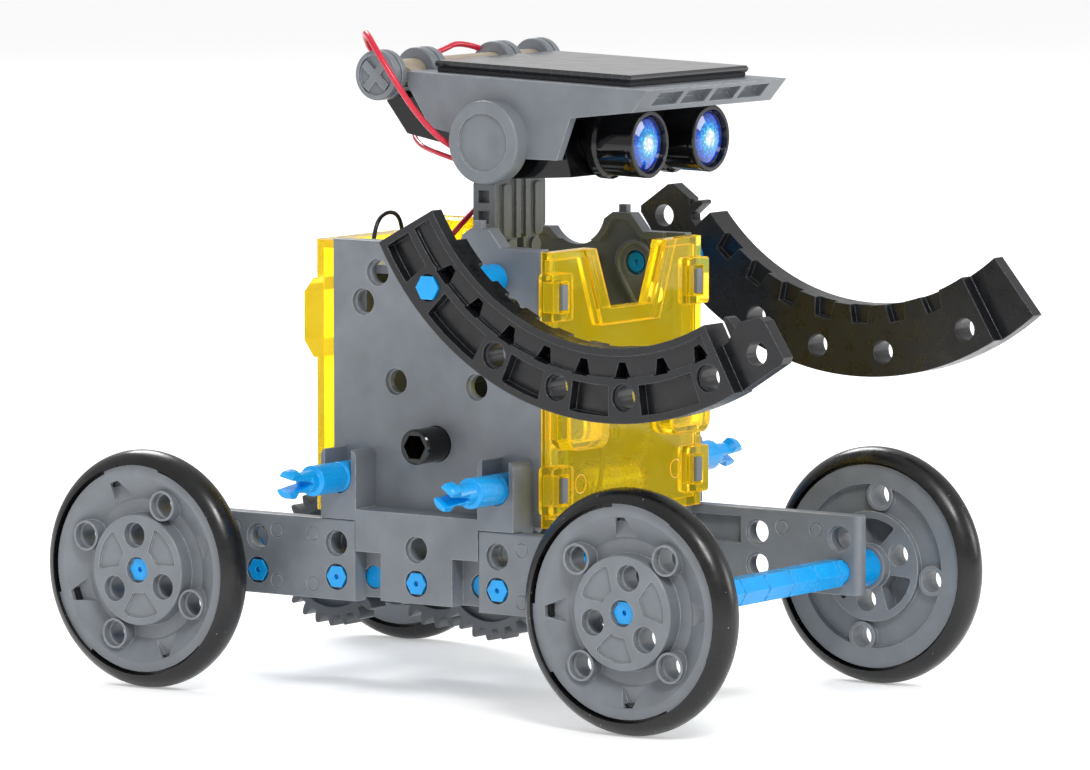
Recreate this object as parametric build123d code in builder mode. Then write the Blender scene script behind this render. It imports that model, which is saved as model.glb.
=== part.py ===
"""Four-wheeled toy robot car: a snap-together kit with a geared chassis, a box body with clear
covers, two curved arms and a head with lamp eyes under a solar panel.

Frame: millimetres, +Z up, the robot faces -Y and its right side is -X.  X = 0 and Y = 0 lie midway
between the wheels and Z = 0 is the floor.  "side" is -1 for the right-hand parts and +1 for the left.
"""
import os
from math import acos, atan2, cos, degrees, pi, radians, sin, sqrt, tan

from build123d import *

# ---- driving dimensions ----
GRID = 6.0                        # hole grid of the kit
PITCH = 3 * GRID                  # spacing of the chassis holes and gear shafts
WHEEL_R = 22.1                    # outer radius of the tyre
AXLE_Y = 3 * PITCH                # front axle at -AXLE_Y, rear axle at +AXLE_Y
AXLE_Z = WHEEL_R
TRACK_HALF = 40.8                 # tyre centre plane from the middle

BODY_HALF_X = 24.5                # outer faces of the body shells
BODY_HALF_Y = 23.3
BODY_Z = (33.2, 83.6)
SHELL_T = 2.3                     # wall of a body shell

BEAM_X = (27.4, 30.8)             # inner and outer faces of the chassis beams
BEAM_Y = (13.8, 58.2)
BEAM_Z = (17.8, 32.7)
UPPER_ROW_Z = AXLE_Z + 6.2        # the beams' second row of holes

HOLE_R = 2.08                     # a kit hole
SINK_R = 2.45                     # its countersunk mouth
SINK_DEPTH = 1.0
PIN_R = 2.0                       # a turning shaft in a kit hole
FIXED_PIN_R = 2.05                # a pin pressed into a kit hole
COLLAR_R = 2.75                   # collars that hold pins and shafts in place
BORE_R = 2.35                     # bore for the wheel axles
JOURNAL_R = 2.27                  # the wheel axles' journals

OUTPUT_Z = AXLE_Z + 25.0          # drive output: 24 + 26 teeth of module 1 above the first gear
ARM_PIVOT = (-13.1, 77.8)         # y, z
ARM_X = (39.3, 45.2)              # inner and outer faces of the arms
ARM_RING_R = 51.5                 # radius of the arms' row of holes
ARM_INNER_R, ARM_OUTER_R = 42.8, 56.1
FREE_PIN = (17.6, 40.5)           # |y|, z of the split pins in the side frames

EAR_Y, EAR_Z = -11.5, 102.6       # the head's pivot
HEAD_HALF_X = 22.6
EYE_X, EYE_Z, EYE_R = 10.0, 102.4, 6.15

RIGHT, LEFT = -1, 1
SIDES = {RIGHT: "right", LEFT: "left"}

os.makedirs("parts", exist_ok=True)


def save(part, name):
    part.label = name
    export_step(part, f"parts/{name}.step")


def yz(x):
    """Sketch plane square to X, with local x = Y and local y = Z."""
    return Plane.YZ.offset(x)


def facing_x(x, centre):
    """Sketch plane square to X with its origin at a centre given as (y, z)."""
    return Plane(origin=(x, *centre), x_dir=(0, 1, 0), z_dir=(1, 0, 0))


def hex_radius(across_flats):
    return across_flats / sqrt(3)


def polar(radius, angle):
    return (radius * cos(radians(angle)), radius * sin(radians(angle)))


# ---- gears ----
LAYER_1 = (-8.0, -3.4)            # x range of the first gear layer
LAYER_2 = (0.8, 5.4)              # x range of the second
FINE = 0.5                        # module of the motor's reduction
STAGE = (10.2, 12.6)              # x range of the motor pinion and the stage gear
FINAL = (13.0, 15.4)              # x range of the stage pinion and the output's second gear
GEAR_SHAFT_Y = (0.0, PITCH, 2 * PITCH)
OUTPUT = (0.0, OUTPUT_Z)
STAGE_SHAFT = (-16.0, OUTPUT_Z + 0.3)
MOTOR = (-17.8, OUTPUT_Z - 8.5)


def meshed_phase(phase, teeth, other_teeth, direction):
    """Tooth angle of a gear that meshes with one of known phase, lying in that direction from it."""
    offset = (phase - direction) * teeth / 360
    return direction + 180 - (360 / other_teeth) * (offset - 0.5)


def direction(start, end):
    return degrees(atan2(end[1] - start[1], end[0] - start[0]))


def gear_outline(teeth, module, phase, backlash=0.12, addendum=0.9, dedendum=1.2):
    """Closed wire of an involute-flanked spur gear, made inside a BuildLine."""
    pitch_r = teeth * module / 2
    tip_r, root_r = pitch_r + addendum * module, pitch_r - dedendum * module
    base_r = pitch_r * cos(radians(20))

    def half_angle(radius):
        """Half the tooth's angle at a radius; radial below the base circle."""
        pressure = [tan(t) - t for t in (radians(20), acos(min(1.0, base_r / max(radius, base_r))))]
        thickness = 90 / teeth - degrees(backlash * module / pitch_r)
        return thickness + degrees(pressure[0] - pressure[1])

    middle_r = (tip_r + max(base_r, root_r)) / 2
    for tooth in range(teeth):
        centre = phase + tooth * 360 / teeth
        following = centre + 360 / teeth
        tip, middle, root = half_angle(tip_r), half_angle(middle_r), half_angle(root_r)
        ThreePointArc(polar(root_r, centre - root), polar(middle_r, centre - middle), polar(tip_r, centre - tip))
        ThreePointArc(polar(tip_r, centre - tip), polar(tip_r, centre), polar(tip_r, centre + tip))
        ThreePointArc(polar(tip_r, centre + tip), polar(middle_r, centre + middle), polar(root_r, centre + root))
        ThreePointArc(polar(root_r, centre + root), polar(root_r, centre + 180 / teeth),
                      polar(root_r, following - root))


def add_gear(centre, x_range, teeth, module, phase):
    """Add a toothed disc to the part being built."""
    with BuildSketch(facing_x(x_range[0], centre)) as disc:
        with BuildLine():
            gear_outline(teeth, module, phase)
        make_face()
    extrude(disc.sketch, amount=x_range[1] - x_range[0])


def lighten_gear(centre, x_range, rim_r, hub_r, depth):
    """Sink a ring into both faces of a gear, between its hub and its rim."""
    for x, amount in ((x_range[0], depth), (x_range[1], -depth)):
        with BuildSketch(facing_x(x, centre)) as ring:
            Circle(rim_r)
            Circle(hub_r, mode=Mode.SUBTRACT)
        extrude(ring.sketch, amount=amount, mode=Mode.SUBTRACT)


def hex_bore(centre, across_flats):
    """Cut a hexagonal hole along X right through the part being built."""
    with BuildSketch(facing_x(-60, centre)) as hexagon:
        RegularPolygon(hex_radius(across_flats), 6)
    extrude(hexagon.sketch, amount=120, mode=Mode.SUBTRACT)


SHAFT_FLATS = 4.0
TRAIN_Z = AXLE_Z
first, second, third = ((y, TRAIN_Z) for y in GEAR_SHAFT_Y)
rear_axle_centre = (AXLE_Y, AXLE_Z)
phase_first = 0.0
phase_second = meshed_phase(phase_first, 24, 12, direction(first, second))
phase_third = meshed_phase(phase_second, 12, 24, direction(second, third))
phase_axle = meshed_phase(phase_third, 24, 12, direction(third, rear_axle_centre))
phase_output = meshed_phase(phase_first, 24, 26, direction(first, OUTPUT))
phase_final = 0.0
phase_stage = meshed_phase(phase_final, 52, 12, direction(OUTPUT, STAGE_SHAFT))
phase_motor = meshed_phase(phase_stage, 24, 12, direction(STAGE_SHAFT, MOTOR))

for name, centre, phase in (("front_gear", first, phase_first), ("rear_gear", third, phase_third)):
    with BuildPart() as idler:
        add_gear(centre, LAYER_1, 24, 1.0, phase)
        lighten_gear(centre, LAYER_1, rim_r=9.4, hub_r=4.4, depth=1.3)
        hex_bore(centre, SHAFT_FLATS + 0.1)
    save(idler.part, name)

with BuildPart() as compound_gear:
    add_gear(second, LAYER_2, 24, 1.0, phase_second)
    lighten_gear(second, LAYER_2, rim_r=9.4, hub_r=4.4, depth=1.3)
    add_gear(second, LAYER_1, 12, 1.0, phase_second)
    with BuildSketch(facing_x(LAYER_1[1] - 0.1, second)):
        Circle(4.4)
    extrude(amount=LAYER_2[0] - LAYER_1[1] + 0.2)
    hex_bore(second, SHAFT_FLATS + 0.1)
save(compound_gear.part, "middle_gear")

AXLE_FLATS = 4.9
with BuildPart() as axle_gear:
    add_gear(rear_axle_centre, LAYER_1, 12, 1.0, phase_axle)
    hex_bore(rear_axle_centre, AXLE_FLATS + 0.1)
save(axle_gear.part, "axle_gear")

with BuildPart() as output_gear:
    add_gear(OUTPUT, LAYER_1, 26, 1.0, phase_output)
    lighten_gear(OUTPUT, LAYER_1, rim_r=10.2, hub_r=4.8, depth=1.3)
    add_gear(OUTPUT, FINAL, 52, FINE, phase_final)
    lighten_gear(OUTPUT, FINAL, rim_r=10.6, hub_r=4.8, depth=0.6)
    with BuildSketch(facing_x(LAYER_1[0] - 1.5, OUTPUT)):
        Circle(4.6)
    extrude(amount=FINAL[1] - LAYER_1[0] + 3.0)
    hex_bore(OUTPUT, 5.1)
save(output_gear.part, "output_gear")

with BuildPart() as stage_gear:
    add_gear(STAGE_SHAFT, STAGE, 24, FINE, phase_stage)
    add_gear(STAGE_SHAFT, FINAL, 12, FINE, phase_stage)
    with BuildSketch(facing_x(STAGE[0] - 2.0, STAGE_SHAFT)):
        Circle(1.9)
    extrude(amount=FINAL[1] - STAGE[0] + 4.0)
    with BuildSketch(facing_x(STAGE[0] - 6, STAGE_SHAFT)):
        Circle(1.05)
    extrude(amount=20, mode=Mode.SUBTRACT)
save(stage_gear.part, "stage_gear")

with BuildPart() as stage_shaft:
    with BuildSketch(facing_x(STAGE[0] - 3.5, STAGE_SHAFT)):
        Circle(1.0)
    extrude(amount=BODY_HALF_X - SHELL_T - STAGE[0] + 3.5)
save(stage_shaft.part, "stage_shaft")

with BuildPart() as motor_pinion:
    add_gear(MOTOR, STAGE, 12, FINE, phase_motor)
    with BuildSketch(facing_x(9.4, MOTOR)):
        Circle(0.75)
    extrude(amount=4.0)
save(motor_pinion.part, "motor_pinion")

MOTOR_R, MOTOR_X = 4.8, (-9.0, 9.0)
with BuildPart() as motor:
    with BuildSketch(facing_x(MOTOR_X[0], MOTOR)):
        Circle(MOTOR_R)
    extrude(amount=MOTOR_X[1] - MOTOR_X[0])
    fillet(motor.edges().group_by(Axis.X)[-1], 0.8)
    with BuildSketch(Plane(origin=(MOTOR_X[0], *MOTOR), x_dir=(0, 1, 0), z_dir=(-1, 0, 0))):
        Circle(1.8)
        with Locations((0, 3.3), (0, -3.3)):
            Rectangle(1.6, 0.5)
    extrude(amount=1.4)
save(motor.part, "motor")

# ---- output shaft with its two sockets ----
SOCKET_X = 31.3
with BuildPart() as output_shaft:
    with BuildSketch(yz(-SOCKET_X)):
        with Locations(OUTPUT):
            Circle(3.25)
    extrude(amount=8.8)
    with BuildSketch(yz(SOCKET_X)):
        with Locations(OUTPUT):
            Circle(3.25)
    extrude(amount=-8.8)
    hex_bore(OUTPUT, 4.2)
    with BuildSketch(yz(-SOCKET_X + 6.0)):
        with Locations(OUTPUT):
            RegularPolygon(hex_radius(5.0), 6)
    extrude(amount=2 * (SOCKET_X - 6.0))
    chamfer(output_shaft.edges().filter_by(GeomType.CIRCLE).group_by(Axis.X)[0], 0.35)
    chamfer(output_shaft.edges().filter_by(GeomType.CIRCLE).group_by(Axis.X)[-1], 0.35)
save(output_shaft.part, "output_shaft")

# ---- gear shafts and fixed pins ----


def add_rod(x_range, centre, radius):
    """Add a round rod along X."""
    with BuildSketch(facing_x(x_range[0], centre)) as section:
        Circle(radius)
    extrude(section.sketch, amount=x_range[1] - x_range[0])


def add_hex_rod(x_range, centre, across_flats):
    """Add a hexagonal rod along X."""
    with BuildSketch(facing_x(x_range[0], centre)) as section:
        RegularPolygon(hex_radius(across_flats), 6)
    extrude(section.sketch, amount=x_range[1] - x_range[0])


def add_end_dimple(x, centre, side, radius=0.5, depth=0.8):
    """Drill the small centre mark in the end of a rod."""
    with BuildSketch(facing_x(x, centre)) as mark:
        Circle(radius)
    extrude(mark.sketch, amount=-side * depth, mode=Mode.SUBTRACT)


for name, centre, bearing_x in (
    ("front_gear_shaft", first, BODY_HALF_X),
    ("middle_gear_shaft", second, BODY_HALF_X),
    ("rear_gear_shaft", third, BEAM_X[0]),
):
    journal_x = bearing_x - 0.6
    with BuildPart() as gear_shaft:
        add_hex_rod((-journal_x, journal_x), centre, SHAFT_FLATS)
        for side in SIDES:
            ends = sorted((side * (journal_x - 0.6), side * (BEAM_X[1] - SINK_DEPTH)))
            add_rod(ends, centre, PIN_R)
            ends = sorted((side * (journal_x - 2.2), side * (journal_x + 0.3)))
            add_rod(ends, centre, COLLAR_R)
            ends = sorted((side * (BEAM_X[1] - SINK_DEPTH), side * (BEAM_X[1] + 0.1)))
            add_hex_rod(ends, centre, 3.8)
            add_end_dimple(side * (BEAM_X[1] + 0.1), centre, side)
    save(gear_shaft.part, name)

with BuildPart() as frame_pins:
    for side in SIDES:
        joint = (-PITCH, AXLE_Z)
        add_rod(sorted((side * BODY_HALF_X, side * (BEAM_X[1] - SINK_DEPTH))), joint, FIXED_PIN_R)
        add_hex_rod(sorted((side * (BEAM_X[1] - SINK_DEPTH), side * (BEAM_X[1] + 0.1))), joint, 3.8)
        add_rod(sorted((side * (BODY_HALF_X - 1.6), side * BODY_HALF_X)), joint, COLLAR_R)
        add_end_dimple(side * (BEAM_X[1] + 0.1), joint, side)
        for y in (-2 * GRID, 2 * GRID):
            add_rod(sorted((side * (BODY_HALF_X - 2.0), side * (BEAM_X[0] - 0.5))), (y, AXLE_Z), FIXED_PIN_R)
            add_rod(sorted((side * (BODY_HALF_X - 2.0), side * BODY_HALF_X)), (y, AXLE_Z), COLLAR_R)
save(frame_pins.part, "frame_pins")

# ---- wheels, tyres and axles ----
FLANGE_R, FLANGE_A = 18.95, 2.6   # rim flanges: radius, and distance from the tyre's centre plane
GROOVE_R, GROOVE_A = 16.3, 1.45
HUB_R, HUB_A = 10.3, 3.1
HUB_BACK_A = -4.6
RIM_PHASE = {("front", RIGHT): 48.0, ("rear", RIGHT): 65.5, ("front", LEFT): 8.0, ("rear", LEFT): 30.0}
BUMP_R = 19.45
TYRE_R = 3.5


def wheel_planes(side, y):
    """A plane through the wheel's axis (x outwards, y up) and one square to it, facing outwards."""
    origin = (side * TRACK_HALF, y, AXLE_Z)
    section = Plane(origin=origin, x_dir=(side, 0, 0), z_dir=(0, -side, 0))
    face = Plane(origin=origin, x_dir=(0, side, 0), z_dir=(side, 0, 0))
    return section, face


def make_wheel(side, y, phase):
    section, face = wheel_planes(side, y)
    axis = Axis((side * TRACK_HALF, y, AXLE_Z), (side, 0, 0))
    with BuildPart() as wheel:
        with BuildSketch(section):
            Polygon(
                (HUB_BACK_A, 0), (HUB_BACK_A, 4.2), (-FLANGE_A, 4.2), (-FLANGE_A, HUB_R), (-1.4, HUB_R),
                (-1.4, 15.0), (-FLANGE_A, 15.3), (-FLANGE_A, FLANGE_R), (-GROOVE_A, FLANGE_R),
                (-GROOVE_A, GROOVE_R), (GROOVE_A, GROOVE_R), (GROOVE_A, FLANGE_R), (FLANGE_A, FLANGE_R),
                (FLANGE_A, 17.3), (0.1, 12.95), (0.1, 10.5), (HUB_A - 0.2, HUB_R), (HUB_A, HUB_R - 0.2),
                (HUB_A, 0),
                align=None,
            )
        revolve(axis=axis)
        # raised bumps round the outer flange
        with BuildSketch(face.offset(GROOVE_A)):
            for turn in (30, 150, 270):
                with BuildLine():
                    start, end = phase + turn - 19, phase + turn + 19
                    Line(polar(FLANGE_R - 1.0, start), polar(BUMP_R, start))
                    ThreePointArc(polar(BUMP_R, start), polar(BUMP_R, phase + turn), polar(BUMP_R, end))
                    Line(polar(BUMP_R, end), polar(FLANGE_R - 1.0, end))
                    ThreePointArc(polar(FLANGE_R - 1.0, end), polar(FLANGE_R - 1.0, phase + turn),
                                  polar(FLANGE_R - 1.0, start))
                make_face()
        extrude(amount=FLANGE_A - GROOVE_A)
        # four pockets in the dish
        with BuildSketch(face.offset(0.35)):
            with PolarLocations(15.1, 4, start_angle=phase + 45):
                Trapezoid(4.6, 3.7, 70, rotation=-90)
        extrude(amount=FLANGE_A, mode=Mode.SUBTRACT)
        # four outer bosses
        with BuildSketch(face.offset(-FLANGE_A)):
            with PolarLocations(13.4, 4, start_angle=phase):
                Circle(2.8)
        extrude(amount=FLANGE_A + HUB_A - 0.2)
        holes = [(13.4, phase + quarter * 90, HUB_A - 0.2) for quarter in range(4)]
        holes += [(6.5, phase + turn, HUB_A) for turn in (30, 150, 270)]
        for radius, angle, front in holes:
            with BuildSketch(face.offset(-FLANGE_A)):
                with Locations(polar(radius, angle)):
                    Circle(HOLE_R)
            extrude(amount=FLANGE_A + HUB_A, mode=Mode.SUBTRACT)
            with BuildSketch(face.offset(front - 1.6)):
                with Locations(polar(radius, angle)):
                    Circle(SINK_R - 0.05)
            extrude(amount=3, mode=Mode.SUBTRACT)
        # fan-shaped recesses between the inner holes, shallow in front and deep behind
        for turn in (90, 210, 330):
            with BuildSketch(face.offset(HUB_A - 0.5)) as fan:
                with BuildLine():
                    start, end = phase + turn - 27, phase + turn + 27
                    Line(polar(4.3, start + 8), polar(8.9, start))
                    ThreePointArc(polar(8.9, start), polar(8.9, phase + turn), polar(8.9, end))
                    Line(polar(8.9, end), polar(4.3, end - 8))
                    ThreePointArc(polar(4.3, end - 8), polar(4.3, phase + turn), polar(4.3, start + 8))
                make_face()
                fillet(fan.vertices(), 0.5)
            extrude(amount=1.0, mode=Mode.SUBTRACT)
            with BuildSketch(face.offset(-FLANGE_A)):
                add(fan.sketch_local)
            extrude(amount=3.4, mode=Mode.SUBTRACT)
        # hex bore for the axle, with a round mouth
        with BuildSketch(face.offset(HUB_BACK_A)):
            RegularPolygon(hex_radius(4.1), 6)
        extrude(amount=HUB_A - HUB_BACK_A, mode=Mode.SUBTRACT)
        with BuildSketch(face.offset(HUB_A - 1.1)):
            Circle(SINK_R)
        extrude(amount=2.0, mode=Mode.SUBTRACT)
    return wheel.part


def make_tyre(side, y):
    section, _ = wheel_planes(side, y)
    with BuildPart() as tyre:
        with BuildSketch(section):
            with Locations((0, WHEEL_R - TYRE_R)):
                Circle(TYRE_R)
            with Locations((0, BUMP_R + 0.05)):
                Rectangle(20, 20, align=(Align.CENTER, Align.MAX), mode=Mode.SUBTRACT)
            with Locations((0, GROOVE_R + 0.02)):
                Rectangle(2 * GROOVE_A - 0.1, 4.0, align=(Align.CENTER, Align.MIN))
        revolve(axis=Axis((side * TRACK_HALF, y, AXLE_Z), (side, 0, 0)))
    return tyre.part


def make_axle(y):
    centre = (y, AXLE_Z)
    hex_end = BEAM_X[0] - 1.2
    hub_back = TRACK_HALF + HUB_BACK_A - 0.05
    with BuildPart() as axle:
        add_hex_rod((-hex_end, hex_end), centre, AXLE_FLATS)
        groove_count = 6
        for index in range(groove_count + 1):
            x = (index / groove_count - 0.5) * 2 * (hex_end - 2.0)
            with BuildSketch(facing_x(x - 0.2, centre)):
                Circle(5)
                Circle(AXLE_FLATS / 2 - 0.05, mode=Mode.SUBTRACT)
            extrude(amount=0.4, mode=Mode.SUBTRACT)
        for side in SIDES:
            add_rod(sorted((side * (hex_end - 0.5), side * hub_back)), centre, JOURNAL_R)
            add_rod(sorted((side * (BEAM_X[1] + 0.3), side * hub_back)), centre, 3.5)
            add_hex_rod(sorted((side * hub_back, side * (TRACK_HALF + HUB_A - 0.8))), centre, 4.0)
            add_end_dimple(side * (TRACK_HALF + HUB_A - 0.8), centre, side)
    return axle.part


for place, y in (("front", -AXLE_Y), ("rear", AXLE_Y)):
    save(make_axle(y), f"{place}_axle")
    for side, word in SIDES.items():
        save(make_wheel(side, y, RIM_PHASE[(place, side)]), f"wheel_{place}_{word}")
        save(make_tyre(side, y), f"tyre_{place}_{word}")

# ---- chassis beams ----


def kit_hole(side, x_inner, x_outer, centre, radius=HOLE_R, sink=SINK_R):
    """Cut a through hole along X with a wider mouth on the outer face."""
    with BuildSketch(facing_x(side * (x_inner - 5), centre)) as bore:
        Circle(radius)
    extrude(bore.sketch, amount=side * (x_outer - x_inner + 10), mode=Mode.SUBTRACT)
    with BuildSketch(facing_x(side * x_outer, centre)) as mouth:
        Circle(sink)
    extrude(mouth.sketch, amount=-side * SINK_DEPTH, mode=Mode.SUBTRACT)


def make_beam(side, end):
    """end is -1 for the front beams and +1 for the rear ones."""
    low, high = sorted((end * BEAM_Y[0], end * BEAM_Y[1]))
    with BuildPart() as beam:
        with BuildSketch(yz(side * BEAM_X[0])):
            with Locations(((low + high) / 2, sum(BEAM_Z) / 2)):
                Rectangle(high - low, BEAM_Z[1] - BEAM_Z[0])
        extrude(amount=side * (BEAM_X[1] - BEAM_X[0]))
        outer_end = beam.edges().filter_by(Axis.Z).group_by(Axis.Y)[0 if end < 0 else -1]
        fillet(outer_end, 1.3)
        outer_rim = beam.faces().sort_by(Axis.X)[0 if side < 0 else -1].edges()
        fillet(outer_rim, 0.35)
        for distance in (PITCH, 2 * PITCH, 3 * PITCH):
            for z in (AXLE_Z, UPPER_ROW_Z):
                if distance == 3 * PITCH and z == AXLE_Z:
                    kit_hole(side, *BEAM_X, (end * distance, z), BORE_R, BORE_R + 0.1)
                else:
                    kit_hole(side, *BEAM_X, (end * distance, z))
        # shallow round mould marks on the outer face
        with BuildSketch(yz(side * BEAM_X[1])):
            for y, z in ((23.4, 20.4), (31.6, 20.4), (23.4, 29.8), (31.6, 29.8), (41.2, 29.8), (48.6, 29.8)):
                with Locations((end * y, z)):
                    Circle(1.4)
                    Circle(1.15, mode=Mode.SUBTRACT)
        extrude(amount=-side * 0.15, mode=Mode.SUBTRACT)
        # recess on the inner face, between the joint and the middle of the beam
        with BuildSketch(yz(side * BEAM_X[0])):
            with Locations((end * 26.8, BEAM_Z[1] - 4.2)):
                Rectangle(11.0, 5.0)
        extrude(amount=side * 1.4, mode=Mode.SUBTRACT)
        # mould marks and widened hole mouths on the inner face
        with BuildSketch(yz(side * BEAM_X[0])):
            for y, z in ((41.4, 29.6), (48.8, 29.6), (24.6, 28.5), (29.0, 28.5)):
                with Locations((end * y, z)):
                    Circle(1.4)
                    Circle(1.15, mode=Mode.SUBTRACT)
        extrude(amount=side * 0.15, mode=Mode.SUBTRACT)
        with BuildSketch(yz(side * BEAM_X[0])):
            for y, z in ((2 * PITCH, AXLE_Z), (2 * PITCH, UPPER_ROW_Z), (3 * PITCH, UPPER_ROW_Z)):
                with Locations((end * y, z)):
                    Circle(SINK_R)
        extrude(amount=side * 0.6, mode=Mode.SUBTRACT)
    return beam.part


for side, word in SIDES.items():
    for end, place in ((-1, "front"), (1, "rear")):
        save(make_beam(side, end), f"beam_{place}_{word}")

# ---- side frames ----
FRAME_HALF_Y = 21.5
UPRIGHT_Y, UPRIGHT_TOP = 13.6, 45.7
CROSSBAR_Z = (27.1, 34.8)
LEG_HALF_Y, LEG_Z = 8.0, 18.4
SLOT_R = 2.95


def make_side_frame(side):
    with BuildPart() as frame:
        with BuildSketch(yz(side * BODY_HALF_X)):
            with Locations((0, (LEG_Z + CROSSBAR_Z[1]) / 2)):
                Rectangle(2 * FRAME_HALF_Y, CROSSBAR_Z[1] - LEG_Z)
        extrude(amount=side * (BEAM_X[0] - BODY_HALF_X))
        with BuildSketch(yz(side * BODY_HALF_X)) as raised:
            with Locations((0, sum(CROSSBAR_Z) / 2)):
                Rectangle(2 * (BEAM_Y[0] - 0.1), CROSSBAR_Z[1] - CROSSBAR_Z[0])
            with Locations((0, (LEG_Z + CROSSBAR_Z[1]) / 2)):
                Rectangle(2 * LEG_HALF_Y, CROSSBAR_Z[1] - LEG_Z)
            for end in (-1, 1):
                with Locations((end * (UPRIGHT_Y + FRAME_HALF_Y) / 2, (BEAM_Z[1] + 0.1 + UPRIGHT_TOP) / 2)):
                    Rectangle(FRAME_HALF_Y - UPRIGHT_Y, UPRIGHT_TOP - BEAM_Z[1] - 0.1)
                with Locations((end * (BEAM_Y[0] - 0.6), CROSSBAR_Z[1] - 0.95)):
                    Rectangle(1.4, 1.9)
        extrude(amount=side * (BEAM_X[1] - BODY_HALF_X))
        top_corners = frame.edges().filter_by(Axis.X).group_by(Axis.Z)[-1]
        fillet(top_corners, 1.6)
        for end in (-1, 1):
            with BuildSketch(yz(side * BODY_HALF_X)):
                with Locations((end * FREE_PIN[0], FREE_PIN[1])):
                    Circle(SLOT_R)
                    Rectangle(2 * SLOT_R, 12, align=(Align.CENTER, Align.MIN))
            extrude(amount=side * 8, mode=Mode.SUBTRACT)
        kit_hole(side, BODY_HALF_X, BEAM_X[1], (0, AXLE_Z))
        kit_hole(side, BODY_HALF_X, BEAM_X[1], (0, UPPER_ROW_Z))
        for y in (-2 * GRID, 2 * GRID):
            kit_hole(side, BODY_HALF_X, BEAM_X[0], (y, AXLE_Z), sink=HOLE_R + 0.1)
        for y in (-PITCH, PITCH):
            for z in (AXLE_Z, UPPER_ROW_Z):
                kit_hole(side, BODY_HALF_X, BEAM_X[0], (y, z), sink=HOLE_R + 0.1)
    return frame.part


for side, word in SIDES.items():
    save(make_side_frame(side), f"side_frame_{word}")

# ---- split pins standing out of the side frames ----
FREE_PIN_TIP = 47.0
FREE_PIN_SHOULDER = 40.0


def make_split_pin(side, end, turn):
    """A pin with a forked end: two hooked prongs, parted by a slot that opens towards the tip."""
    origin = (side * BODY_HALF_X, end * FREE_PIN[0], FREE_PIN[1])
    length = FREE_PIN_TIP - BODY_HALF_X
    shoulder = FREE_PIN_SHOULDER - BODY_HALF_X
    slot_side = Plane(origin=origin, x_dir=(side, 0, 0), z_dir=(0, -side, 0)).rotated((turn, 0, 0))
    with BuildPart() as pin:
        with BuildSketch(Plane(origin=origin, x_dir=(side, 0, 0), z_dir=(0, -side, 0))):
            Polygon(
                (0.1, 0), (0.1, 2.8), (6.3, 2.8), (6.8, 2.45), (7.4, 2.8), (shoulder - 1.2, 2.8),
                (shoulder - 0.8, 2.1), (shoulder + 0.6, 2.0), (length - 3.0, 1.75), (length - 2.2, 2.75),
                (length - 0.6, 2.55), (length, 2.1), (length, 0),
                align=None,
            )
        revolve(axis=Axis(origin, (side, 0, 0)))
        # six flats along the shank
        shank = Plane(origin=origin, x_dir=(0, 1, 0), z_dir=(side, 0, 0)).offset(7.4)
        with BuildSketch(shank) as flats:
            Circle(3.4)
            RegularPolygon(3.0, 8, mode=Mode.SUBTRACT)
        extrude(flats.sketch, amount=shoulder - 1.2 - 7.4, mode=Mode.SUBTRACT)
        # the slot between the prongs, and the trimmed sides of the prongs
        with BuildSketch(slot_side) as slot:
            Polygon((shoulder + 0.6, 0.0), (shoulder + 1.2, 0.5), (length + 1, 1.35), (length + 1, -1.35),
                    (shoulder + 1.2, -0.5), align=None)
        extrude(slot.sketch, amount=4, both=True, mode=Mode.SUBTRACT)
        with BuildSketch(slot_side.offset(1.45)) as trim:
            with Locations(((shoulder + length + 2.0) / 2, 0)):
                Rectangle(length - shoulder, 8)
        extrude(trim.sketch, amount=3, mode=Mode.SUBTRACT)
        with BuildSketch(slot_side.offset(-1.45)) as far_trim:
            with Locations(((shoulder + length + 2.0) / 2, 0)):
                Rectangle(length - shoulder, 8)
        extrude(far_trim.sketch, amount=-3, mode=Mode.SUBTRACT)
    return pin.part


with BuildPart() as split_pins:
    for side in SIDES:
        for end, turn in ((-1, 35), (1, 12)):
            add(make_split_pin(side, end, turn))
save(split_pins.part, "split_pins")

# ---- body shells ----
SCALLOP = (0.9, 87.3, 6.8)        # y, z and radius of the dip in the top edge
BUMP_TOP_Z = 86.9
BODY_HOLES = ((13.1, 77.8), (16.4, 72.3), (9.0, 58.0))


BOSS_LOW = (-16.4, 72.3)
BOSS_SPAN = sqrt((ARM_PIVOT[0] - BOSS_LOW[0])**2 + (ARM_PIVOT[1] - BOSS_LOW[1])**2)
BOSS_TURN = degrees(atan2(ARM_PIVOT[1] - BOSS_LOW[1], ARM_PIVOT[0] - BOSS_LOW[0]))


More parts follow.
